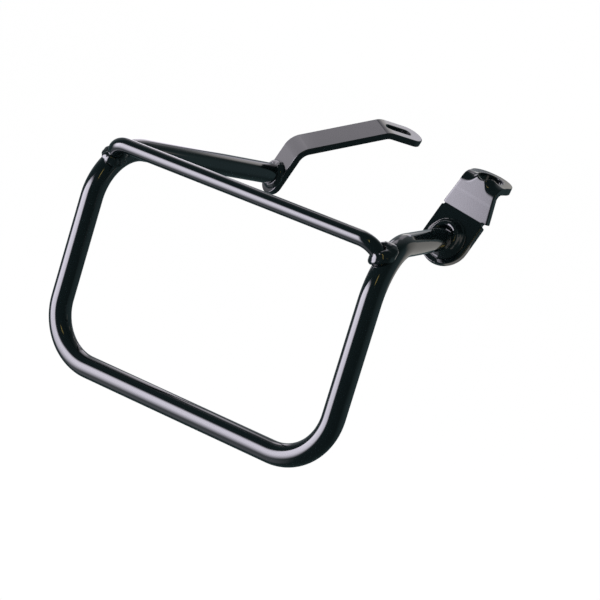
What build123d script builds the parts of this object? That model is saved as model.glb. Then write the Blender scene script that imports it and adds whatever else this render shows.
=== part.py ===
# Pannier frame for one side of a motorbike: a bent tube loop with two arms, a thin rod across its upper bends,
# a slotted flat-bar strap at the rear and a folded eye bracket at the front, all welded together.
# Millimetres. X runs along the bike with its front at +X, Y points in towards the bike, Z is up.
# The origin is the centre of the eye's hole, halfway through the plate.
import os
from math import acos, cos, degrees, radians, sin, tan

from build123d import *

# main tube
tube_diameter = 18.0
tube_wall = 2.0
tube_bend_radius = 43.0
tube_overrun = 14.0  # left on each arm before it is cut flush with its bracket
loop_width = 267.0  # between the centrelines of the uprights
loop_height = 169.5  # from the bottom run's centreline to the arms' level at the corners
rear_arm_length = 210.0  # from the sharp corner to the strap's face, along the arm
rear_arm_toe_deg = 5.7  # in towards the loop's middle
rear_arm_rise_deg = -1.0
front_corner_lift = 3.2  # of the front arm above the rear one
front_arm_length = 127.5  # from the sharp corner to the eye bracket's face, along the arm
front_arm_toe_deg = 11.0
front_arm_rise_deg = 2.6

# top bar
bar_diameter = 12.0
bar_bend_radius = 16.5
bar_above_corners = 4.3
bar_ahead_of_loop = 2.3
bar_corner_inset = 10.6  # from an upright's centreline to the bar's sharp corner

# rear strap, a bent flat bar
strap_width = 25.0
strap_thickness = 6.0
strap_riser = 31.0  # from the arm's axis to the first sharp corner, at the middle of the thickness
strap_run = 80.5  # between the two sharp corners
strap_tail = 25.5  # from the second sharp corner to the centre of the round end
strap_drop = 4.9  # from the arm's axis down to the centre of the lower round end
strap_first_bend_deg = 55.0
strap_second_bend_deg = 29.5
strap_bend_radius = 14.0  # at the middle of the thickness
strap_yaw_deg = 23.8
strap_pitch_deg = 8.5
strap_roll_deg = 18.3
slot_width = 8.5
slot_length = 25.0
slot_end_margin = 12.0  # from the slot's end to the strap's tip

# eye bracket, a folded plate
plate_thickness = 6.0
plate_width = 40.0
plate_rise = 24.9  # from the arm's axis to the first fold, at the middle of the thickness
plate_drop = 1.0  # from the arm's axis down to the centre of the round end
tab_width = 42.0  # above the first fold
tab_offset = 1.0  # forwards of the foot's middle
tab_waist = 33.45  # at the second fold
waist_offset = 0.48
tab_length = 27.3  # between the two folds
eye_diameter = 35.5
eye_hole_diameter = 20.0
eye_reach = 14.7  # from the second fold to the eye's centre
first_fold_deg = 19.2  # forwards
second_fold_deg = 81.8  # backwards
first_fold_radius = 5.0  # at the middle of the thickness
second_fold_radius = 7.0
neck_fillet = 6.0  # where the waist runs out into the eye
relief_radius = 1.7  # of the notch at each end of the first fold
plate_yaw_deg = -7.2
plate_pitch_deg = 21.9
plate_roll_deg = 10.6

# weld beads, by the radius of the run
strap_bead_radius = 3.4
eye_bead_radius = 5.9
rear_bar_bead_radius = 3.4
front_bar_bead_radius = 4.4


def heading(toe, rise):
    """Direction of an arm that runs in towards the bike."""
    return Vector(tan(radians(toe)), 1, tan(radians(rise))).normalized()


def outboard_plane(origin, yaw, pitch, roll):
    """Plane whose normal looks away from the bike, turned about Z, tipped up and rolled about its normal."""
    across = Vector(1, 0, 0).rotate(Axis.Z, -yaw)
    normal = Vector(0, -1, 0).rotate(Axis.Z, -yaw).rotate(Axis((0, 0, 0), across), -pitch)
    across = across.rotate(Axis((0, 0, 0), normal), -roll)
    return Plane(origin=origin, x_dir=across, z_dir=normal)


rear_corner = Vector(-loop_width / 2, 0, loop_height)
front_corner = Vector(loop_width / 2, 0, loop_height + front_corner_lift)
rear_heading = heading(rear_arm_toe_deg, rear_arm_rise_deg)
front_heading = heading(-front_arm_toe_deg, front_arm_rise_deg)
rear_arm_end = rear_corner + rear_heading * rear_arm_length
front_arm_end = front_corner + front_heading * front_arm_length
strap_plane = outboard_plane(rear_arm_end, strap_yaw_deg, strap_pitch_deg, strap_roll_deg)
plate_plane = outboard_plane(front_arm_end, plate_yaw_deg, plate_pitch_deg, plate_roll_deg)


def tube_path():
    """Centreline of the main tube, run past both brackets' faces so that it can be cut flush."""
    return FilletPolyline(
        rear_arm_end + rear_heading * tube_overrun,
        rear_corner,
        (-loop_width / 2, 0, 0),
        (loop_width / 2, 0, 0),
        front_corner,
        front_arm_end + front_heading * tube_overrun,
        radius=tube_bend_radius,
    )


def swept_round(path, diameter):
    """Round bar of one diameter along a path."""
    return sweep(Plane(origin=path @ 0, z_dir=path % 0) * Circle(diameter / 2), path=path)


def behind(plane):
    """Block behind a bracket's outboard face, big enough to take off the end of an arm."""
    side = 3 * tube_diameter
    return plane * Pos(0, 0, -side / 2) * Box(side, side, side)


def make_tube_blank():
    """The main tube as a solid bar with its arms cut flush with the brackets, for coping and for the welds."""
    return swept_round(tube_path(), tube_diameter) - behind(strap_plane) - behind(plate_plane)


def make_main_tube(blank):
    bore = swept_round(tube_path(), tube_diameter - 2 * tube_wall)
    return blank - bore


def bend_middle(corner, arm_heading):
    """Point of the tube's centreline halfway round an upper bend."""
    down = Vector(0, 0, -1)
    turn = 180 - degrees(acos(down.dot(arm_heading)))
    inwards = (down + arm_heading).normalized()
    past_corner = tube_bend_radius / cos(radians(turn / 2)) - tube_bend_radius
    return corner + inwards * past_corner


def bar_corners():
    """Sharp corners of the top bar, rear and front."""
    reach = loop_width / 2 - bar_corner_inset
    level = loop_height + bar_above_corners
    return Vector(-reach, -bar_ahead_of_loop, level), Vector(reach, -bar_ahead_of_loop, level)


rear_seat = bend_middle(rear_corner, rear_heading)
front_seat = bend_middle(front_corner - Vector(0, 0, front_corner_lift), front_heading)


def make_top_bar(blank):
    """Thin rod whose turned ends aim at the middles of the tube's bends and are coped to its surface."""
    rear, front = bar_corners()
    path = FilletPolyline(rear_seat, rear, front, front_seat, radius=bar_bend_radius)
    return swept_round(path, bar_diameter) - blank


def bent_strip(plane, headings, lengths, radii, width, thickness, offset=0):
    """Strip of one width along a filleted profile, behind the plane that its first outboard face lies in."""
    profile = FilletPolyline(*profile_points(headings, lengths, thickness), radius=radii)
    across = Plane(origin=profile @ 0, x_dir=(1, 0, 0), z_dir=profile % 0)
    section = across * Pos(offset, 0) * Rectangle(width, thickness)
    return plane * sweep(section, path=profile)


def profile_points(headings, lengths, thickness):
    """Sharp corners of a strip's middle line in its plane's own frame."""
    points = [Vector(0, 0, -thickness / 2)]
    for angle, length in zip(headings, lengths):
        points.append(points[-1] + Vector(0, cos(radians(angle)), sin(radians(angle))) * length)
    return points


def leg_planes(plane, headings, lengths, thickness):
    """Plane at the start of each leg and one at the end of the last leg."""
    points = profile_points(headings, lengths, thickness)
    starts = [plane.from_local_coords(point) for point in points]
    return [leg_plane(plane, start, angle) for start, angle in zip(starts, headings + headings[-1:])]


def leg_plane(plane, origin, angle):
    """Plane of a folded leg's middle: x across the strip, y along the leg, z out of its outboard side."""
    along = plane.y_dir * cos(radians(angle)) + plane.z_dir * sin(radians(angle))
    return Plane(origin=origin, x_dir=plane.x_dir, z_dir=plane.x_dir.cross(along))


def make_rear_strap():
    headings = [0, -strap_first_bend_deg, -strap_first_bend_deg - strap_second_bend_deg]
    lengths = [strap_riser, strap_run, strap_tail]
    legs = leg_planes(strap_plane, headings, lengths, strap_thickness)
    strap = bent_strip(strap_plane, headings, lengths, strap_bend_radius, strap_width, strap_thickness)
    strap += legs[0] * Pos(0, -strap_drop / 2) * Box(strap_width, strap_drop, strap_thickness)
    strap += legs[0] * Pos(0, -strap_drop) * Cylinder(strap_width / 2, strap_thickness)
    strap += legs[3] * Cylinder(strap_width / 2, strap_thickness)
    slot_middle = strap_width / 2 - slot_end_margin - slot_length / 2
    slot = Pos(0, slot_middle) * SlotOverall(slot_length, slot_width, rotation=90)
    return strap - extrude(legs[3] * slot, amount=strap_thickness, both=True)


def make_eye_bracket():
    """Folded plate: round-ended foot, tab that narrows to a waist, and an eye with a hole."""
    headings = [0, first_fold_deg, first_fold_deg - second_fold_deg]
    lengths = [plate_rise, tab_length, eye_reach]
    legs = leg_planes(plate_plane, headings, lengths, plate_thickness)
    first_setback = first_fold_radius * tan(radians(first_fold_deg / 2))
    second_setback = second_fold_radius * tan(radians(second_fold_deg / 2))
    radii = [first_fold_radius, second_fold_radius]
    neck = bent_strip(plate_plane, headings, lengths, radii, tab_waist, plate_thickness, waist_offset)
    neck += make_eye_round(legs[3], second_setback)
    neck = fillet(neck_corners(neck, legs[3]), neck_fillet)
    fold_lengths = [plate_rise, 2 * first_setback]
    fold = bent_strip(plate_plane, headings[:2], fold_lengths, first_fold_radius, plate_width, plate_thickness)
    tab = make_tab(legs[1], 2 * first_setback, tab_length - second_setback)
    foot = legs[0] * Pos(0, -plate_drop / 2) * Box(plate_width, plate_drop, plate_thickness)
    foot += legs[0] * Pos(0, -plate_drop) * Cylinder(plate_width / 2, plate_thickness)
    bracket = neck + fold + tab + foot
    for side in (-1, 1):
        notch = Pos(side * (plate_width / 2 - relief_radius / 2), plate_rise - first_setback)
        bracket -= legs[0] * notch * Cylinder(relief_radius, 3 * plate_thickness)
    return bracket - legs[3] * Cylinder(eye_hole_diameter / 2, 4 * plate_thickness), legs[3]


def make_eye_round(eye, setback):
    """Disc of the eye, as far back as the second fold's own bend."""
    flat = eye_reach - setback
    keep = Pos(0, (eye_diameter - flat) / 2) * Box(eye_diameter, eye_diameter + flat, plate_thickness)
    return eye * (Cylinder(eye_diameter / 2, plate_thickness) & keep)


def neck_corners(neck, eye):
    """Short upright edges where the waist's sides meet the round of the eye."""
    sides = [waist_offset - tab_waist / 2, waist_offset + tab_waist / 2]
    spots = [eye.from_local_coords((side, -((eye_diameter**2 / 4 - side**2) ** 0.5), 0)) for side in sides]
    return [neck.edges().sort_by_distance(spot)[0] for spot in spots]


def make_tab(tab, low, high):
    """Flat of the tab between the folds, narrowing evenly to the waist."""
    wide, narrow = tab_width / 2, tab_waist / 2
    corners = [(tab_offset - wide, low), (tab_offset + wide, low)]
    corners += [(waist_offset + narrow, high), (waist_offset - narrow, high)]
    outline = Polygon(*corners, align=None)
    return extrude(tab * outline, amount=plate_thickness / 2, both=True)


def arm_weld(plane, arm_heading, bead_radius, blank, bracket):
    """Bead around an arm where its surface meets a bracket's face, an ellipse as the arm comes in at a slant."""
    slant = plane.z_dir.dot(arm_heading)
    lean = (arm_heading - plane.z_dir * slant).normalized()
    ring_plane = Plane(origin=plane.origin, x_dir=lean, z_dir=plane.z_dir)
    ring = Edge.make_ellipse(tube_diameter / 2 / abs(slant), tube_diameter / 2, plane=ring_plane)
    bead = sweep(Plane(origin=ring @ 0, z_dir=ring % 0) * Circle(bead_radius), path=ring)
    return bead - blank - bracket


def bar_weld(seat, corner, lift, bead_radius, blank, bar):
    """Bead around one end of the top bar where it sits on the tube, whose bend is lifted above the seat."""
    outwards = (corner - seat).normalized()
    across = outwards.cross(Vector(0, 1, 1)).normalized()
    centre = seat + outwards * (tube_diameter / 2 + lift * outwards.Z)
    ring_plane = Plane(origin=centre, x_dir=across, z_dir=outwards)
    return ring_plane * Torus(bar_diameter / 2, bead_radius) - blank - bar


def make_pieces():
    blank = make_tube_blank()
    bar = make_top_bar(blank)
    strap = make_rear_strap()
    bracket, eye = make_eye_bracket()
    rear, front = bar_corners()
    pieces = {
        "main_tube": make_main_tube(blank),
        "top_bar": bar,
        "rear_strap": strap,
        "eye_bracket": bracket,
        "weld_bar_rear": bar_weld(rear_seat, rear, 0, rear_bar_bead_radius, blank, bar),
        "weld_bar_front": bar_weld(front_seat, front, front_corner_lift, front_bar_bead_radius, blank, bar),
        "weld_strap": arm_weld(strap_plane, rear_heading, strap_bead_radius, blank, strap),
        "weld_eye": arm_weld(plate_plane, front_heading, eye_bead_radius, blank, bracket),
    }
    return pieces, eye.origin


def main():
    os.makedirs("parts", exist_ok=True)
    pieces, eye_centre = make_pieces()
    for name, piece in pieces.items():
        solid = piece.solid()
        print(name, round(solid.volume, 1), "mm3")
        export_step(solid.moved(Location(eye_centre * -1)), f"parts/{name}.step")


main()
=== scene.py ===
import bpy
import bmesh
from math import cos, pi, radians, sin, sqrt, tan
from random import Random
from mathutils import Matrix, Vector


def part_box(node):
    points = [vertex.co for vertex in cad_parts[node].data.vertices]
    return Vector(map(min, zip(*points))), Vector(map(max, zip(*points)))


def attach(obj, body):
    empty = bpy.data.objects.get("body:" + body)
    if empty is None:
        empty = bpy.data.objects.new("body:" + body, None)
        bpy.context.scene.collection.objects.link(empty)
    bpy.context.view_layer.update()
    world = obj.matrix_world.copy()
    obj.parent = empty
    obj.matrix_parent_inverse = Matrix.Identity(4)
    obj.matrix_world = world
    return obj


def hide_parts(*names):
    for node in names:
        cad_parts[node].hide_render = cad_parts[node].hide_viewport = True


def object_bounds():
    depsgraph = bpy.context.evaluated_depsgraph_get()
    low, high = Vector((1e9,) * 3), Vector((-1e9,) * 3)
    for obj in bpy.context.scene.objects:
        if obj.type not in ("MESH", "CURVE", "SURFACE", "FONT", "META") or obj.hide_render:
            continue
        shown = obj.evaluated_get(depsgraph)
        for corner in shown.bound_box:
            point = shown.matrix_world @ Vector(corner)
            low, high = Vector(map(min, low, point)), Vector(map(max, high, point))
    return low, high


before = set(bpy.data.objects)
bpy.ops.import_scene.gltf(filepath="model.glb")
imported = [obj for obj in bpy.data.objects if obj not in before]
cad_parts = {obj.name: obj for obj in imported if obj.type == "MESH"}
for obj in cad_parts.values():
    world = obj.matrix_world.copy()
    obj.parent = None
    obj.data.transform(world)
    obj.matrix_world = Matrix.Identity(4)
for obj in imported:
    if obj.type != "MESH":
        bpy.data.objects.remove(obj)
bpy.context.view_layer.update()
mm = 0.001  # the sizes below are in millimetres and degrees
tiny = 0.001  # slack when verts are picked by their place
mergeReach = 0.002  # verts nearer than this are one
cutterDepth = 3.0  # a cutter's height in thicknesses of what it cuts
down = Vector((0, 0, -1))
white = (1, 1, 1, 1)
print("frame loaded:", ", ".join(sorted(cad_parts)))


# small helpers for working by operator

def clearSelection():
    if bpy.context.object and bpy.context.object.mode != "OBJECT":
        bpy.ops.object.mode_set(mode="OBJECT")
    bpy.ops.object.select_all(action="DESELECT")


def makeActive(piece):
    clearSelection()
    piece.select_set(True)
    bpy.context.view_layer.objects.active = piece


def startEdit(piece):
    makeActive(piece)
    bpy.ops.object.mode_set(mode="EDIT")
    bpy.ops.mesh.select_mode(type="VERT")


def endEdit():
    bpy.ops.object.mode_set(mode="OBJECT")


def pickVerts(piece, test):
    bpy.ops.mesh.select_all(action="DESELECT")
    shape = bmesh.from_edit_mesh(piece.data)
    for vert in shape.verts:
        vert.select_set(bool(test(vert)))
    shape.select_flush(True)
    bmesh.update_edit_mesh(piece.data)


def pickEdges(piece, test):
    bpy.ops.mesh.select_mode(type="EDGE")
    bpy.ops.mesh.select_all(action="DESELECT")
    shape = bmesh.from_edit_mesh(piece.data)
    for edge in shape.edges:
        edge.select_set(bool(test(edge.verts[0].co, edge.verts[1].co)))
    bmesh.update_edit_mesh(piece.data)


def applyPlace(piece):
    makeActive(piece)
    bpy.ops.object.transform_apply(location=True, rotation=True, scale=True)


def useModifier(piece, kind, **settings):
    makeActive(piece)
    modifier = piece.modifiers.new(kind.title(), kind)
    for key, value in settings.items():
        setattr(modifier, key, value)
    bpy.ops.object.modifier_apply(modifier=modifier.name)


def joinTo(piece, other, how):  # UNION or DIFFERENCE
    useModifier(piece, "BOOLEAN", object=other, operation=how, solver="EXACT")
    bpy.data.objects.remove(other, do_unlink=True)


def tidyMesh(piece):
    startEdit(piece)
    bpy.ops.mesh.select_all(action="SELECT")
    bpy.ops.mesh.remove_doubles(threshold=mergeReach * mm)
    bpy.ops.mesh.normals_make_consistent(inside=False)
    endEdit()


def standFor(piece, slotName, *nodes):
    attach(piece, "root")
    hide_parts(*nodes)


# the loop: where it is in the frame, and the lines that its bends, arms and brackets follow

# armStart and armReach pick an arm's verts, as shares of the bend's and the tube's radius
tube = dict(diameter=18.0, bendRadius=43.0, loopWidth=267.0, loopHeight=169.5, overrun=14.0, sides=72,
            bendSteps=36, armStart=0.8, armReach=1.1, shadeAngle=40.0)
rearArm = dict(length=210.0, toe=5.7, rise=-1.0, lift=0.0)
frontArm = dict(length=127.5, toe=-11.0, rise=2.6, lift=3.2)
strapTurn = dict(yaw=23.8, pitch=8.5, roll=18.3)
plateTurn = dict(yaw=-7.2, pitch=21.9, roll=10.6)

tubeLow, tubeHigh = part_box("main_tube")
tubeRadius = tube["diameter"] / 2
loopMiddle = Vector(((tubeLow.x + tubeHigh.x) / 2, tubeLow.y + tubeRadius * mm,
                     tubeLow.z + tubeRadius * mm))


def atLoop(x, y, z):  # millimetres from the middle of the bottom run
    return loopMiddle + Vector((x, y, z)) * mm


def armLine(arm, side):
    corner = atLoop(side * tube["loopWidth"] / 2, 0, tube["loopHeight"] + arm["lift"])
    heading = Vector((tan(radians(arm["toe"])), 1, tan(radians(arm["rise"])))).normalized()
    return corner, heading, corner + heading * arm["length"] * mm


def bracketPlane(origin, turn):
    across = Matrix.Rotation(-radians(turn["yaw"]), 3, "Z") @ Vector((1, 0, 0))
    normal = Matrix.Rotation(-radians(turn["yaw"]), 3, "Z") @ Vector((0, -1, 0))
    normal = Matrix.Rotation(-radians(turn["pitch"]), 3, across) @ normal
    across = Matrix.Rotation(-radians(turn["roll"]), 3, normal) @ across
    plane = Matrix((across, normal.cross(across), normal)).transposed().to_4x4()
    plane.translation = origin
    return plane


def normalOf(plane):
    return plane.to_3x3() @ Vector((0, 0, 1))


rearCorner, rearHeading, rearEnd = armLine(rearArm, -1)
frontCorner, frontHeading, frontEnd = armLine(frontArm, 1)
strapPlane = bracketPlane(rearEnd, strapTurn)
platePlane = bracketPlane(frontEnd, plateTurn)


# bent round stock: a ring of verts is pushed along each run and spun round each bend, as a bender does

def bendRound(name, corners, radius, bendRadius, sides, bendSteps):
    clearSelection()
    first = (corners[1] - corners[0]).normalized()
    bpy.ops.mesh.primitive_circle_add(vertices=sides, radius=radius, location=corners[0],
                                      rotation=first.to_track_quat("Z", "Y").to_euler())
    piece = bpy.context.object
    piece.name = name
    applyPlace(piece)
    startEdit(piece)
    bpy.ops.mesh.select_all(action="SELECT")
    here = corners[0]
    for before, corner, after in zip(corners, corners[1:], corners[2:]):
        into = (corner - before).normalized()
        out = (after - corner).normalized()
        turn = into.angle(out)
        setback = bendRadius * tan(turn / 2)
        axis = into.cross(out).normalized()
        bendStart = corner - into * setback
        bpy.ops.mesh.extrude_edges_move(TRANSFORM_OT_translate={"value": bendStart - here})
        bpy.ops.mesh.spin(steps=bendSteps, angle=turn, axis=-axis,
                          center=bendStart + axis.cross(into) * bendRadius)
        here = corner + out * setback
    bpy.ops.mesh.extrude_edges_move(TRANSFORM_OT_translate={"value": corners[-1] - here})
    bpy.ops.mesh.select_all(action="SELECT")
    bpy.ops.mesh.remove_doubles(threshold=mergeReach * mm)
    bpy.ops.mesh.select_non_manifold()
    bpy.ops.mesh.edge_face_add()
    endEdit()
    return piece


def cutFlush(piece, corner, heading, plane):  # takes off the end of an arm behind a bracket's face
    def onArm(vert):
        along = (vert.co - corner).dot(heading)
        away = (vert.co - corner - heading * along).length
        return along > tube["armStart"] * tube["bendRadius"] * mm and away < tube["armReach"] * tubeRadius * mm

    startEdit(piece)
    pickVerts(piece, onArm)
    bpy.ops.mesh.bisect(plane_co=plane.translation, plane_no=normalOf(plane), use_fill=True, clear_inner=True)
    endEdit()


mainTube = bendRound(
    "mainTube",
    [rearEnd + rearHeading * tube["overrun"] * mm, rearCorner,
     atLoop(-tube["loopWidth"] / 2, 0, 0), atLoop(tube["loopWidth"] / 2, 0, 0),
     frontCorner, frontEnd + frontHeading * tube["overrun"] * mm],
    tubeRadius * mm, tube["bendRadius"] * mm, tube["sides"], tube["bendSteps"])
print("main tube bent:", len(mainTube.data.polygons), "faces")


# the thin rod across the upper bends

bar = dict(diameter=12.0, bendRadius=16.5, aboveCorners=4.3, aheadOfLoop=2.3, cornerInset=10.6, sink=4.0,
           sides=56, bendSteps=28)


def bendMiddle(corner, heading):  # where the tube's middle line is halfway round an upper bend
    turn = pi - down.angle(heading)
    return corner + (down + heading).normalized() * tube["bendRadius"] * mm * (1 / cos(turn / 2) - 1)


barReach = tube["loopWidth"] / 2 - bar["cornerInset"]
barLevel = tube["loopHeight"] + bar["aboveCorners"]
barRear = atLoop(-barReach, -bar["aheadOfLoop"], barLevel)
barFront = atLoop(barReach, -bar["aheadOfLoop"], barLevel)
rearSeat = bendMiddle(rearCorner, rearHeading)
frontSeat = bendMiddle(frontCorner - Vector((0, 0, frontArm["lift"] * mm)), frontHeading)
barSink = (tubeRadius - bar["sink"]) * mm  # the rod's ends stop inside the tube
topBar = bendRound(
    "topBar",
    [rearSeat + (barRear - rearSeat).normalized() * barSink, barRear, barFront,
     frontSeat + (barFront - frontSeat).normalized() * barSink],
    bar["diameter"] / 2 * mm, bar["bendRadius"] * mm, bar["sides"], bar["bendSteps"])
print("top bar bent:", len(topBar.data.polygons), "faces")


# flat stock: cut flat with x across, y along and the middle of the thickness at z 0, then folded

def roundBlank(name, radius, low, high, thickness, sides):
    clearSelection()
    bpy.ops.mesh.primitive_circle_add(vertices=sides, radius=radius * mm, fill_type="NGON",
                                      location=(0, low * mm, -thickness / 2 * mm))
    piece = bpy.context.object
    piece.name = name
    applyPlace(piece)
    startEdit(piece)
    if high > low:  # the far half of the ring moves along, which leaves a blank with two round ends
        pickVerts(piece, lambda vert: vert.co.y > (low + tiny) * mm)
        bpy.ops.transform.translate(value=(0, (high - low) * mm, 0))
    bpy.ops.mesh.select_all(action="SELECT")
    bpy.ops.mesh.extrude_region_move(TRANSFORM_OT_translate={"value": (0, 0, thickness * mm)})
    bpy.ops.mesh.select_all(action="SELECT")
    bpy.ops.mesh.normals_make_consistent(inside=False)
    endEdit()
    return piece


def foldFlat(piece, folds):  # folds are (start, length, angle, steps) along the strip; outboard is positive
    lines = []
    for start, length, angle, steps in folds:
        lines += [((start + length * (step + 0.5) / steps) * mm, radians(angle) / steps)
                  for step in range(steps)]
    startEdit(piece)
    for y, turn in lines:
        bpy.ops.mesh.select_all(action="SELECT")
        bpy.ops.mesh.bisect(plane_co=(0, y, 0), plane_no=(0, 1, 0), threshold=tiny * mm)
    endEdit()
    flat = [vert.co.y for vert in piece.data.vertices]
    startEdit(piece)
    for y, turn in reversed(lines):
        for past in (-tiny * mm, tiny * mm):  # half of the turn with the line's own verts, half without
            pickVerts(piece, lambda vert: flat[vert.index] > y + past)
            bpy.ops.transform.rotate(value=-turn / 2, orient_axis="X", orient_type="GLOBAL",
                                     center_override=(0, y, 0))
    endEdit()


def seatFlat(piece, plane, thickness):  # the face that the arm meets goes on the bracket's plane
    tidyMesh(piece)
    piece.matrix_world = plane @ Matrix.Translation((0, 0, -thickness / 2 * mm))
    applyPlace(piece)


strap = dict(width=25.0, thickness=6.0, riser=31.0, run=80.5, tail=25.5, drop=4.9, firstBend=-55.0,
             secondBend=-29.5, bendRadius=14.0, bendSteps=14, slotWidth=8.5, slotLength=25.0,
             slotEndMargin=12.0, slotSides=64, edgeRound=0.9, edgeSteps=3, edgeAngle=40.0, shadeAngle=45.0,
             sides=128)


def makeRearStrap():
    s = strap
    setbacks = [s["bendRadius"] * tan(radians(abs(s[bend]) / 2)) for bend in ("firstBend", "secondBend")]
    arcs = [s["bendRadius"] * radians(abs(s[bend])) for bend in ("firstBend", "secondBend")]
    firstStart = s["riser"] - setbacks[0]
    secondStart = firstStart + arcs[0] + s["run"] - setbacks[0] - setbacks[1]
    tip = secondStart + arcs[1] + s["tail"] - setbacks[1]  # centre of the far round end
    piece = roundBlank("rearStrap", s["width"] / 2, -s["drop"], tip, s["thickness"], s["sides"])
    slotEnd = tip + s["width"] / 2 - s["slotEndMargin"] - s["slotWidth"] / 2
    slotStart = slotEnd - s["slotLength"] + s["slotWidth"]
    cutter = roundBlank("slotCutter", s["slotWidth"] / 2, slotStart, slotEnd, cutterDepth * s["thickness"],
                        s["slotSides"])
    joinTo(piece, cutter, "DIFFERENCE")
    tidyMesh(piece)
    # the edges are rounded while the blank is flat, so that the folds carry them
    useModifier(piece, "BEVEL", width=s["edgeRound"] * mm, segments=s["edgeSteps"], limit_method="ANGLE",
                angle_limit=radians(s["edgeAngle"]), use_clamp_overlap=False)
    foldFlat(piece, [(firstStart, arcs[0], s["firstBend"], s["bendSteps"]),
                     (secondStart, arcs[1], s["secondBend"], s["bendSteps"])])
    seatFlat(piece, strapPlane, s["thickness"])
    bpy.ops.object.shade_smooth_by_angle(angle=radians(s["shadeAngle"]))
    useModifier(piece, "WEIGHTED_NORMAL", keep_sharp=True)
    return piece


rearStrap = makeRearStrap()
print("rear strap folded:", len(rearStrap.data.polygons), "faces")


plate = dict(thickness=6.0, width=40.0, rise=24.9, drop=1.0, tabWidth=42.0, tabOffset=1.0, waist=33.45,
             waistOffset=0.48, tabLength=27.3, eyeDiameter=35.5, holeDiameter=20.0, eyeReach=14.7,
             firstFold=19.2, secondFold=-81.8, firstRadius=5.0, secondRadius=7.0, neckRound=1.0, neckReach=0.3,
             neckSteps=4, notchRadii=(1.3, 1.7), lateTurn=8.5, lateWidth=6.0, lateEdge=4, lateFade=4.0,
             pressAt=0.62, pressWidth=1.5, pressTurn=1.4, pressRadius=70.0, sides=144, holeSides=96,
             notchSides=32, voxel=0.4, smoothing=10)


def bendSheet(piece, start, radius, angle, lateAt=None):  # bends what lies beyond start; outboard is positive
    side = 1 if angle > 0 else -1
    arc = radius * radians(abs(angle))
    for vert in piece.data.vertices:
        x, y, z = vert.co / mm
        along = y - start
        if along <= 0:
            continue
        late = min(lateAt(x, along - arc), along) if lateAt else 0
        turned = min(along - late, arc)
        beyond = along - late - turned
        turn = turned / radius
        vert.co.y = (start + late + (radius - side * z) * sin(turn) + beyond * cos(turn)) * mm
        vert.co.z = (z * cos(turn) + side * (radius * (1 - cos(turn)) + beyond * sin(turn))) * mm


def lateTurn(x, past):  # the hole weakens the middle of the second fold, so it turns later there
    p = plate
    fade = min(max(past / p["lateFade"], 0), 1)
    softFade = fade * fade * (3 - 2 * fade)
    return p["lateTurn"] / (1 + (x / p["lateWidth"]) ** p["lateEdge"]) * (1 - softFade)


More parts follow.
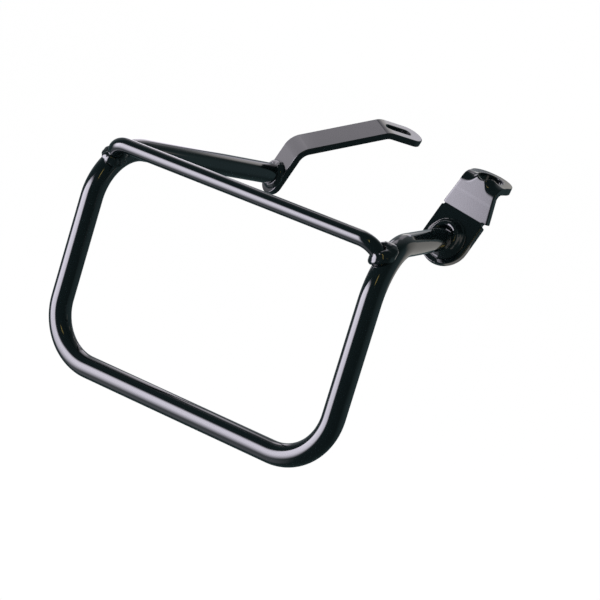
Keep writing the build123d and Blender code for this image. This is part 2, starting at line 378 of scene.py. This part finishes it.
def makeEyeBracket():
    p = plate
    firstSetback = p["firstRadius"] * tan(radians(p["firstFold"] / 2))
    secondSetback = p["secondRadius"] * tan(radians(-p["secondFold"] / 2))
    firstArc = p["firstRadius"] * radians(p["firstFold"])
    secondArc = p["secondRadius"] * radians(-p["secondFold"])
    firstStart = p["rise"] - firstSetback
    tabStart = firstStart + firstArc
    tabEnd = tabStart + p["tabLength"] - firstSetback - secondSetback
    eyeY = tabEnd + secondArc + p["eyeReach"] - secondSetback
    # foot, tab and eye are cut as three flat pieces and joined
    piece = roundBlank("eyeBracket", p["width"] / 2, -p["drop"], tabStart, p["thickness"], p["sides"])
    startEdit(piece)  # the foot's top end is square
    bpy.ops.mesh.select_all(action="SELECT")
    bpy.ops.mesh.bisect(plane_co=(0, tabStart * mm, 0), plane_no=(0, 1, 0), use_fill=True, clear_outer=True)
    endEdit()
    clearSelection()
    bpy.ops.mesh.primitive_cube_add(size=1, location=(p["tabOffset"] * mm, (tabStart + tabEnd) / 2 * mm, 0),
                                    scale=(p["tabWidth"] * mm, (tabEnd - tabStart) * mm, p["thickness"] * mm))
    tab = bpy.context.object
    applyPlace(tab)
    startEdit(tab)
    pickVerts(tab, lambda vert: vert.co.y > (tabEnd - tiny) * mm)
    bpy.ops.transform.resize(value=(p["waist"] / p["tabWidth"], 1, 1),
                             center_override=(p["tabOffset"] * mm, tabEnd * mm, 0))
    bpy.ops.transform.translate(value=((p["waistOffset"] - p["tabOffset"]) * mm, 0, 0))
    bpy.ops.mesh.select_mode(type="FACE")
    bpy.ops.mesh.extrude_region_move(TRANSFORM_OT_translate={"value": (0, (eyeY - tabEnd) * mm, 0)})
    endEdit()
    eye = roundBlank("eyeDisc", p["eyeDiameter"] / 2, eyeY, eyeY, p["thickness"], p["sides"])
    joinTo(tab, eye, "UNION")
    joinTo(piece, tab, "UNION")
    tidyMesh(piece)
    # the waist runs out into the eye in a small round
    startEdit(piece)
    for side in (-1, 1):
        neckX = p["waistOffset"] + side * p["waist"] / 2
        neck = Vector((neckX, eyeY - sqrt(p["eyeDiameter"] ** 2 / 4 - neckX ** 2))) * mm
        pickEdges(piece, lambda a, b: abs(a.z - b.z) > p["thickness"] / 2 * mm
                  and (a.xy - neck).length < p["neckReach"] * mm)
        bpy.ops.mesh.bevel(offset=p["neckRound"] * mm, segments=p["neckSteps"], affect="EDGES")
    endEdit()
    cutterHeight = cutterDepth * p["thickness"]
    hole = roundBlank("holeCutter", p["holeDiameter"] / 2, eyeY, eyeY, cutterHeight, p["holeSides"])
    joinTo(piece, hole, "DIFFERENCE")
    for side, radius in zip((-1, 1), p["notchRadii"]):  # relief notches at the ends of the first fold
        notch = roundBlank("notchCutter", radius, firstStart, firstStart, cutterHeight, p["notchSides"])
        notch.location.x = side * (p["width"] - radius) / 2 * mm
        applyPlace(notch)
        joinTo(piece, notch, "DIFFERENCE")
    # an even mesh, so that the folds come out smooth and the smoothing rounds the edges
    useModifier(piece, "REMESH", mode="VOXEL", voxel_size=p["voxel"] * mm)
    useModifier(piece, "SMOOTH", iterations=p["smoothing"])
    press = tabStart + p["pressAt"] * (tabEnd - tabStart)  # the press leaves a faint ridge across the tab
    bendSheet(piece, tabEnd, p["secondRadius"], p["secondFold"], lateTurn)
    bendSheet(piece, press + p["pressWidth"], p["pressRadius"], -p["pressTurn"])
    bendSheet(piece, press, p["pressRadius"], p["pressTurn"])
    bendSheet(piece, firstStart, p["firstRadius"], p["firstFold"])
    seatFlat(piece, platePlane, p["thickness"])
    bpy.ops.object.shade_smooth()
    return piece


eyeBracket = makeEyeBracket()
print("eye bracket folded:", len(eyeBracket.data.polygons), "faces")


# the arms are cut flush with the brackets' faces, and the round stock is shaded smooth

cutFlush(mainTube, rearCorner, rearHeading, strapPlane)
cutFlush(mainTube, frontCorner, frontHeading, platePlane)
for piece in (mainTube, topBar):
    tidyMesh(piece)
    bpy.ops.object.shade_smooth_by_angle(angle=radians(tube["shadeAngle"]))
print("arms cut flush with the brackets")


# weld beads: overlapping ripples laid round each joint and fused

# all ripples: corner and bluntFrom are shares of the radius; the rest of each weld is in its own values
bead = dict(voxel=0.4, lean=18.0, seed=4, segments=24, rings=16, corner=0.3, bluntFrom=0.2, blunt=0.7)
eyeBead = dict(radius=7.2, outwards=0.3, count=30, flat=0.75, tall=1.15, sunk=0.45, chamfer=0.76,
               jitter=0.05, smoothing=40)
strapBead = dict(radius=4.1, outwards=0.2, count=24, flat=0.9, tall=1.1, sunk=0.8, chamfer=0.9,
                 jitter=0.06, smoothing=40)
rearBarBead = dict(radius=4.6, outwards=0.3, count=11, flat=1.0, tall=1.0, sunk=1.0, chamfer=0.88,
                   jitter=0.09, smoothing=30)
frontBarBead = dict(radius=6.0, outwards=0.4, count=13, flat=1.0, tall=1.0, sunk=1.0, chamfer=0.84,
                    jitter=0.06, smoothing=40)


def makeRipple(shape):  # a drop that leans back along the run and is blunt behind
    clearSelection()
    bpy.ops.mesh.primitive_uv_sphere_add(segments=bead["segments"], ring_count=bead["rings"],
                                         radius=shape["radius"] * mm)
    ripple = bpy.context.object
    startEdit(ripple)
    bpy.ops.mesh.select_all(action="SELECT")
    bpy.ops.transform.resize(value=(shape["flat"], 1, shape["tall"]))
    corner = bead["corner"] * shape["radius"] * mm  # between the faces it joins the bead is flatter than round
    pickVerts(ripple, lambda vert: min(abs(vert.co.y), abs(vert.co.z)) > corner)
    bpy.ops.transform.resize(value=(1, shape["chamfer"], shape["chamfer"]), center_override=(0, 0, 0))
    pickVerts(ripple, lambda vert: vert.co.z > 0)
    bpy.ops.transform.resize(value=(1, 1, shape["sunk"]), center_override=(0, 0, 0))  # stays within the plate
    heel = -bead["bluntFrom"] * shape["radius"] * mm
    pickVerts(ripple, lambda vert: vert.co.x < heel)
    bpy.ops.transform.resize(value=(bead["blunt"], 1, 1), center_override=(heel, 0, 0))
    bpy.ops.mesh.select_all(action="SELECT")
    bpy.ops.transform.rotate(value=-radians(bead["lean"]), orient_axis="Z", center_override=(0, 0, 0))
    endEdit()
    return ripple


def layBead(name, spots, shape):  # spots are (place, along, out) round the joint
    chance = Random(bead["seed"])
    first = makeRipple(shape)
    ripples = []
    for place, along, out in spots:
        ripple = first.copy()
        ripple.data = first.data.copy()
        bpy.context.scene.collection.objects.link(ripple)
        size = 1 + shape["jitter"] * chance.uniform(-1, 1)
        turn = Matrix((along, out, along.cross(out))).transposed().to_4x4()
        shift = Matrix.Translation(place + out * shape["outwards"] * mm)
        ripple.matrix_world = shift @ turn @ Matrix.Scale(size, 4)
        ripples.append(ripple)
    bpy.data.objects.remove(first, do_unlink=True)
    clearSelection()
    for ripple in ripples:
        ripple.select_set(True)
    piece = ripples[0]
    bpy.context.view_layer.objects.active = piece
    bpy.ops.object.join()
    piece.name = name
    applyPlace(piece)
    useModifier(piece, "REMESH", mode="VOXEL", voxel_size=bead["voxel"] * mm)
    useModifier(piece, "SMOOTH", iterations=shape["smoothing"])
    tidyMesh(piece)
    bpy.ops.object.shade_smooth()
    return piece


def armSpots(plane, heading, count):  # an ellipse, as the arm comes in at a slant
    normal = normalOf(plane)
    slant = normal.dot(heading)
    lean = (heading - normal * slant).normalized()
    side = normal.cross(lean)
    spots = []
    for step in range(count):
        angle = 2 * pi * step / count
        out = lean * cos(angle) + side * sin(angle)
        along = side * cos(angle) - lean * sin(angle)
        place = plane.translation + (lean * cos(angle) / abs(slant) + side * sin(angle)) * tubeRadius * mm
        spots.append((place, along, out))
    return spots


def barSpots(seat, corner, tubeHeading, lift, count):  # a saddle round the rod's end on the tube's bend
    axis = (corner - seat).normalized()
    seat = seat + Vector((0, 0, lift * mm))
    lengthways = (tubeHeading - axis * axis.dot(tubeHeading)).normalized()
    side = axis.cross(lengthways)
    barRadius = bar["diameter"] / 2
    spots = []
    for step in range(count):
        angle = 2 * pi * (step + 0.5) / count
        out = lengthways * cos(angle) + side * sin(angle)
        along = side * cos(angle) - lengthways * sin(angle)
        height = sqrt(tubeRadius ** 2 - (barRadius * sin(angle)) ** 2)
        spots.append((seat + (axis * height + out * barRadius) * mm, along, out))
    return spots


weldEye = layBead("weldEye", armSpots(platePlane, frontHeading, eyeBead["count"]), eyeBead)
weldStrap = layBead("weldStrap", armSpots(strapPlane, rearHeading, strapBead["count"]), strapBead)
weldBarRear = layBead("weldBarRear", barSpots(rearSeat, barRear, (rearHeading - down).normalized(), 0,
                                              rearBarBead["count"]), rearBarBead)
weldBarFront = layBead("weldBarFront", barSpots(frontSeat, barFront, (frontHeading - down).normalized(),
                                                frontArm["lift"], frontBarBead["count"]), frontBarBead)
welds = (weldEye, weldStrap, weldBarRear, weldBarFront)
print("welds laid:", sum(len(piece.data.polygons) for piece in welds), "faces")

standFor(mainTube, "black_coat", "main_tube")
standFor(topBar, "black_coat", "top_bar")
standFor(rearStrap, "black_coat", "rear_strap")
standFor(eyeBracket, "black_coat", "eye_bracket")
standFor(weldEye, "weld_coat", "weld_eye")
standFor(weldStrap, "weld_coat", "weld_strap")
standFor(weldBarRear, "weld_coat", "weld_bar_rear")
standFor(weldBarFront, "weld_coat", "weld_bar_front")


# finishes: a black powder coat, and the same coat where it runs thin over the weld ripples

def addNode(tree, kind, **inputs):
    node = tree.nodes.new(kind)
    for key, value in inputs.items():
        node.inputs[key].default_value = value
    return node


def mathNode(tree, kind, operation, *values):  # kind is Math or VectorMath; a value is a socket or fixed
    node = tree.nodes.new("ShaderNode" + kind)
    node.operation = operation
    for socket, value in zip(node.inputs, values):
        if isinstance(value, bpy.types.NodeSocket):
            tree.links.new(value, socket)
        else:
            socket.default_value = value
    return node


coatGrain = dict(toneScale=38.0, toneDetail=4.0, toneRough=0.6, glossScale=110.0, glossDetail=3.0,
                 glossLow=0.3, glossHigh=0.7, peelDetail=1.5, peelRough=0.4, grainScale=2600.0,
                 grainDetail=1.0, grainShare=0.2)


def coatSkinGroup():
    g = coatGrain
    group = bpy.data.node_groups.new("coatSkin", "ShaderNodeTree")
    for name, kind in (("Vector", "Vector"), ("Deep", "Color"), ("Pale", "Color"), ("Smooth", "Float"),
                       ("Rough", "Float"), ("Peel Scale", "Float")):
        group.interface.new_socket(name=name, in_out="INPUT", socket_type="NodeSocket" + kind)
    for name, kind in (("Color", "Color"), ("Roughness", "Float"), ("Height", "Float")):
        group.interface.new_socket(name=name, in_out="OUTPUT", socket_type="NodeSocket" + kind)
    source = group.nodes.new("NodeGroupInput")
    sink = group.nodes.new("NodeGroupOutput")
    link = group.links.new
    # slow change of tone over the piece
    tone = addNode(group, "ShaderNodeTexNoise", Scale=g["toneScale"], Detail=g["toneDetail"],
                   Roughness=g["toneRough"])
    toneMix = group.nodes.new("ShaderNodeMix")
    toneMix.data_type = "RGBA"
    link(source.outputs["Vector"], tone.inputs["Vector"])
    link(tone.outputs["Fac"], toneMix.inputs["Factor"])
    link(source.outputs["Deep"], toneMix.inputs["A"])
    link(source.outputs["Pale"], toneMix.inputs["B"])
    link(toneMix.outputs["Result"], sink.inputs["Color"])
    # gloss that changes in soft patches
    gloss = addNode(group, "ShaderNodeTexNoise", Scale=g["glossScale"], Detail=g["glossDetail"])
    glossMap = addNode(group, "ShaderNodeMapRange", **{"From Min": g["glossLow"], "From Max": g["glossHigh"]})
    link(source.outputs["Vector"], gloss.inputs["Vector"])
    link(gloss.outputs["Fac"], glossMap.inputs["Value"])
    link(source.outputs["Smooth"], glossMap.inputs["To Min"])
    link(source.outputs["Rough"], glossMap.inputs["To Max"])
    link(glossMap.outputs["Result"], sink.inputs["Roughness"])
    # orange peel of the baked powder, with a finer grain on it
    peel = addNode(group, "ShaderNodeTexNoise", Detail=g["peelDetail"], Roughness=g["peelRough"])
    grain = addNode(group, "ShaderNodeTexNoise", Scale=g["grainScale"], Detail=g["grainDetail"])
    link(source.outputs["Vector"], peel.inputs["Vector"])
    link(source.outputs["Peel Scale"], peel.inputs["Scale"])
    link(source.outputs["Vector"], grain.inputs["Vector"])
    height = mathNode(group, "Math", "MULTIPLY_ADD", grain.outputs["Fac"], g["grainShare"], peel.outputs["Fac"])
    link(height.outputs["Value"], sink.inputs["Height"])
    return group


coatSkin = coatSkinGroup()
blackCoat = dict(deep=(0.0014, 0.0032, 0.0036, 1), pale=(0.0026, 0.0050, 0.0056, 1), smooth=0.09, rough=0.15,
                 peelScale=420.0, peelDepth=0.004, clear=1.0, clearRoughness=0.05)
weldCoat = dict(deep=(0.0014, 0.0030, 0.0034, 1), pale=(0.0034, 0.0056, 0.0060, 1), smooth=0.08, rough=0.18,
                peelScale=300.0, peelDepth=0.008, clear=1.0, clearRoughness=0.05)


def coatMaterial(name, look):
    material = bpy.data.materials.new(name)
    material.use_nodes = True
    tree = material.node_tree
    shader = tree.nodes["Principled BSDF"]
    place = tree.nodes.new("ShaderNodeTexCoord")
    skin = tree.nodes.new("ShaderNodeGroup")
    skin.node_tree = coatSkin
    for socket, key in (("Deep", "deep"), ("Pale", "pale"), ("Smooth", "smooth"), ("Rough", "rough"),
                        ("Peel Scale", "peelScale")):
        skin.inputs[socket].default_value = look[key]
    bump = addNode(tree, "ShaderNodeBump", Distance=look["peelDepth"] * mm)
    tree.links.new(place.outputs["Object"], skin.inputs["Vector"])
    tree.links.new(skin.outputs["Color"], shader.inputs["Base Color"])
    tree.links.new(skin.outputs["Roughness"], shader.inputs["Roughness"])
    tree.links.new(skin.outputs["Height"], bump.inputs["Height"])
    tree.links.new(bump.outputs["Normal"], shader.inputs["Normal"])
    shader.inputs["Coat Weight"].default_value = look["clear"]
    shader.inputs["Coat Roughness"].default_value = look["clearRoughness"]
    return material


stock = (mainTube, topBar, rearStrap, eyeBracket)
for coat, pieces in ((coatMaterial("blackCoat", blackCoat), stock),
                     (coatMaterial("weldCoat", weldCoat), welds)):
    for piece in pieces:
        piece.data.materials.clear()
        piece.data.materials.append(coat)
    print("coat mixed:", coat.name)


# studio: a pale floor well below, one big softbox to the left and dark cloth round the rest

studio = dict(floorDrop=2050.0, floorSize=60.0, floorTone=(0.9, 0.9, 0.9, 1), floorRoughness=0.9,
              floorGlow=0.62, fill=0.42)
box = dict(azimuth=-134.0, lift=-9.5, distance=2.4, size=(3.12, 3.42), radiance=7.4, tint=(0.91, 0.87, 1.0),
           fades=(0.32, 0.21, 0.56, 0.28), cut=((0.15, 0.60), (0.62, 0.97)))
cloth = dict(radius=4.6, segments=96, rings=48, gap=20.0, tone=(0.040, 0.066, 0.070))
# paler places on the cloth: azimuth, lift, reach of the full tone and of its edge in degrees, tone
dimWall = dict(azimuth=130.0, lift=30.0, inner=20.0, outer=60.0, tone=(0.14, 0.14, 0.15))
litFloor = dict(azimuth=-143.0, lift=-50.0, inner=4.0, outer=32.0, tone=(0.34, 0.33, 0.37))
rightSide = dict(azimuth=35.0, lift=5.0, inner=8.0, outer=48.0, tone=(0.06, 0.09, 0.10))
# boards hung round the frame, seen only in the coat, in metres: the middle, the size across and up, the azimuth
# that the back faces, the soft edges' shares at its own left, right, low and high sides, and the tone
# a dark card inside the eye's hole is painted shade: seen only in the coat, it makes the hole's wall reflect
# dark
half = 0.5  # a panel is made 1 by 1 about its middle and then scaled; a cut's points are shares of its sides
boards = dict(
    backBoard=dict(place=(-0.665, 1.50, 0.825), size=(0.43, 0.65), back=90.0, fades=(0.15, 0.3, 0.1, 0.25),
                   tone=(1.07, 1.04, 1.22), cut=((1.0, 0.20), (0.116, 0.515))),
    highBoard=dict(place=(-0.98, 0.50, 1.40), size=(0.94, 1.20), back=90.0, fades=(0.17, 0.15, 0.17, 0.15),
                   tone=(1.08, 1.03, 1.13)),
    lowBoard=dict(place=(-0.42, 0.50, 0.68), size=(0.44, 0.68), back=90.0, fades=(0.3, 0.3, 0.25, 0.25),
                  tone=(0.65, 0.62, 0.68)),
    armBoard=dict(place=(-0.22, 0.25, 0.13), size=(0.20, 0.22), back=90.0, fades=(0.45, 0.35, 0.45, 0.45),
                  tone=(1.15, 1.11, 1.11)),
    ringBoard=dict(place=(-0.02, 0.12, 0.06), size=(0.10, 0.08), back=90.0, fades=(0.2, 0.4, 0.3, 0.3),
                   tone=(0.55, 0.53, 0.50)),
    eyeBoard=dict(place=(0.045, -0.02, -0.025), size=(0.11, 0.17), back=90.0, fades=(0.4, 0.1, 0.12, 0.3),
                  tone=(0.43, 0.42, 0.40), cut=((0.545, 0.647), (0.80, 0.324))),
    # painted shade: a dark card in the eye's hole, seen only in the hole wall's reflection
    paintedHoleShade=dict(place=(-0.001, -0.001, -0.0005), size=(0.017, 0.006), back=-135.0,
                  fades=(0.05, 0.05, 0.05, 0.05), tone=(0.010, 0.014, 0.015)),
    sideBoard=dict(place=(-0.35, 0.06, 0.085), size=(0.20, 0.35), back=180.0, fades=(0.2, 0.2, 0.15, 0.2),
                   tone=(1.45, 1.38, 1.52)),
    warmStrip=dict(place=(0.60, -1.70, 1.00), size=(0.17, 0.90), back=-70.0, fades=(0.4, 0.4, 0.3, 0.3),
                   tone=(3.6, 2.8, 0.8)))

world = bpy.data.worlds.new("studioAir")
bpy.context.scene.world = world
world.use_nodes = True


def shownBackground(tree):  # 1 for camera, glossy and transmission rays, 0 for the rest
    path = tree.nodes.new("ShaderNodeLightPath")
    seen = mathNode(tree, "Math", "MAXIMUM", path.outputs["Is Camera Ray"], path.outputs["Is Glossy Ray"])
    seen = mathNode(tree, "Math", "MAXIMUM", seen.outputs["Value"], path.outputs["Is Transmission Ray"])
    return seen.outputs["Value"]


air = world.node_tree
level = addNode(air, "ShaderNodeMapRange", **{"To Min": studio["fill"]})
air.links.new(shownBackground(air), level.inputs["Value"])
air.nodes["Background"].inputs["Color"].default_value = white
air.links.new(level.outputs["Result"], air.nodes["Background"].inputs["Strength"])

low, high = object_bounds()
middle = (Vector(low) + Vector(high)) / 2
floorLevel = low[2] - studio["floorDrop"] * mm
clearSelection()
bpy.ops.mesh.primitive_plane_add(size=studio["floorSize"], location=(middle.x, middle.y, floorLevel))
floor = bpy.context.object
floor.name = "floor"
applyPlace(floor)
floorPaint = bpy.data.materials.new("floorPaint")
floorPaint.use_nodes = True
paint = floorPaint.node_tree
matt = paint.nodes["Principled BSDF"]
matt.inputs["Base Color"].default_value = studio["floorTone"]
matt.inputs["Roughness"].default_value = studio["floorRoughness"]
matt.inputs["Specular IOR Level"].default_value = 0.0
matt.inputs["Emission Color"].default_value = white
glow = mathNode(paint, "Math", "MULTIPLY", shownBackground(paint), studio["floorGlow"])
paint.links.new(glow.outputs["Value"], matt.inputs["Emission Strength"])
floor.data.materials.append(floorPaint)


def towards(azimuth, lift):
    return Vector((cos(radians(azimuth)) * cos(radians(lift)), sin(radians(azimuth)) * cos(radians(lift)),
                   sin(radians(lift))))


def glowTree(name):  # a bare emission material, its tree and its shader
    material = bpy.data.materials.new(name)
    material.use_nodes = True
    tree = material.node_tree
    tree.nodes.remove(tree.nodes["Principled BSDF"])
    shine = tree.nodes.new("ShaderNodeEmission")
    tree.links.new(shine.outputs["Emission"], tree.nodes["Material Output"].inputs["Surface"])
    return material, tree, shine


def fadeNode(tree, value, start, end):  # 0 to 1 in a soft step
    node = tree.nodes.new("ShaderNodeMapRange")
    node.interpolation_type = "SMOOTHSTEP"
    node.inputs["From Min"].default_value = start
    node.inputs["From Max"].default_value = end
    tree.links.new(value, node.inputs["Value"])
    return node.outputs["Result"]


def reflectedOnly(thing):
    for ray in ("camera", "diffuse", "transmission", "volume_scatter", "shadow"):
        setattr(thing, "visible_" + ray, False)


def hangCloth():  # only reflections see it, so the coat is dark and the background stays white
    clearSelection()
    bpy.ops.mesh.primitive_uv_sphere_add(segments=cloth["segments"], ring_count=cloth["rings"],
                                         radius=cloth["radius"], location=middle)
    drape = bpy.context.object
    drape.name = "darkCloth"
    applyPlace(drape)
    lowest = floorLevel + cloth["gap"] * mm
    startEdit(drape)
    pickVerts(drape, lambda vert: vert.co.z < lowest)
    bpy.ops.transform.resize(value=(1, 1, 0), center_override=(0, 0, lowest))  # it lies flat on the floor
    endEdit()
    reflectedOnly(drape)
    weave, tree, shine = glowTree("darkClothWeave")
    place = tree.nodes.new("ShaderNodeTexCoord").outputs["Object"]
    fromMiddle = mathNode(tree, "VectorMath", "SUBTRACT", place, middle).outputs["Vector"]
    heading = mathNode(tree, "VectorMath", "NORMALIZE", fromMiddle).outputs["Vector"]
    tone = cloth["tone"]
    for spot in (dimWall, litFloor, rightSide):
        near = mathNode(tree, "VectorMath", "DOT_PRODUCT", heading, towards(spot["azimuth"], spot["lift"]))
        lit = fadeNode(tree, near.outputs["Value"], cos(radians(spot["outer"])), cos(radians(spot["inner"])))
        tone = mathNode(tree, "VectorMath", "MULTIPLY_ADD", lit, spot["tone"], tone).outputs["Vector"]
    tree.links.new(tone, shine.inputs["Color"])
    drape.data.materials.append(weave)


def hangPanel(name, place, back, size, fades, tone, cut=None):  # a glowing panel, dimmer towards its edges
    clearSelection()
    bpy.ops.mesh.primitive_plane_add(size=1)
    panel = bpy.context.object
    panel.name = name
    if cut:  # one corner is folded back
        (x0, y0), (x1, y1) = cut
        startEdit(panel)
        bpy.ops.mesh.select_all(action="SELECT")
        bpy.ops.mesh.bisect(plane_co=(x0 - half, y0 - half, 0), plane_no=(y0 - y1, x1 - x0, 0),
                            clear_outer=True)
        endEdit()
    panel.scale = (*size, 1)
    panel.rotation_euler = back.to_track_quat("Z", "Y").to_euler()  # its back is turned away from the frame
    panel.location = place
    fabric, tree, shine = glowTree(name + "Fabric")
    spot = tree.nodes.new("ShaderNodeTexCoord").outputs["Object"]
    across = mathNode(tree, "VectorMath", "DOT_PRODUCT", spot, (1, 0, 0)).outputs["Value"]
    upwards = mathNode(tree, "VectorMath", "DOT_PRODUCT", spot, (0, 1, 0)).outputs["Value"]
    share = None
    for value, edge, fade in zip((across, across, upwards, upwards), (-half, half, -half, half), fades):
        lit = fadeNode(tree, value, edge, edge - fade if edge > 0 else edge + fade)
        share = mathNode(tree, "Math", "MULTIPLY", share, lit).outputs["Value"] if share else lit
    shine.inputs["Color"].default_value = (*tone, 1)
    clear = tree.nodes.new("ShaderNodeBsdfTransparent")  # the edges let through what hangs behind
    blend = tree.nodes.new("ShaderNodeMixShader")
    tree.links.new(share, blend.inputs["Fac"])
    tree.links.new(clear.outputs["BSDF"], blend.inputs[1])
    tree.links.new(shine.outputs["Emission"], blend.inputs[2])
    tree.links.new(blend.outputs["Shader"], tree.nodes["Material Output"].inputs["Surface"])
    panel.data.materials.append(fabric)
    return panel


hangCloth()
boxSide = towards(box["azimuth"], box["lift"])
softbox = hangPanel("softbox", middle + boxSide * box["distance"], boxSide, box["size"], box["fades"],
                    Vector(box["tint"]) * box["radiance"], box["cut"])
softbox.visible_camera = False
for name, board in boards.items():
    reflectedOnly(hangPanel(name, board["place"], towards(board["back"], 0), board["size"], board["fades"],
                            board["tone"], board.get("cut")))
print("studio set")


# camera where the photograph was taken from

shot = dict(place=(841.26, -1592.52, 161.50), turn=(80.304, -16.760, 34.297), lens=139.448, sensor=36.0,
            sight=50.0)
eyepiece = bpy.data.cameras.new("photoCamera")
eyepiece.lens = shot["lens"]
eyepiece.sensor_width = shot["sensor"]
eyepiece.clip_end = shot["sight"]  # metres
photoCamera = bpy.data.objects.new("photoCamera", eyepiece)
bpy.context.scene.collection.objects.link(photoCamera)
photoCamera.location = Vector(shot["place"]) * mm
photoCamera.rotation_euler = [radians(angle) for angle in shot["turn"]]
bpy.context.scene.camera = photoCamera
bpy.context.scene.view_settings.view_transform = "Standard"
print("camera set")

clearSelection()
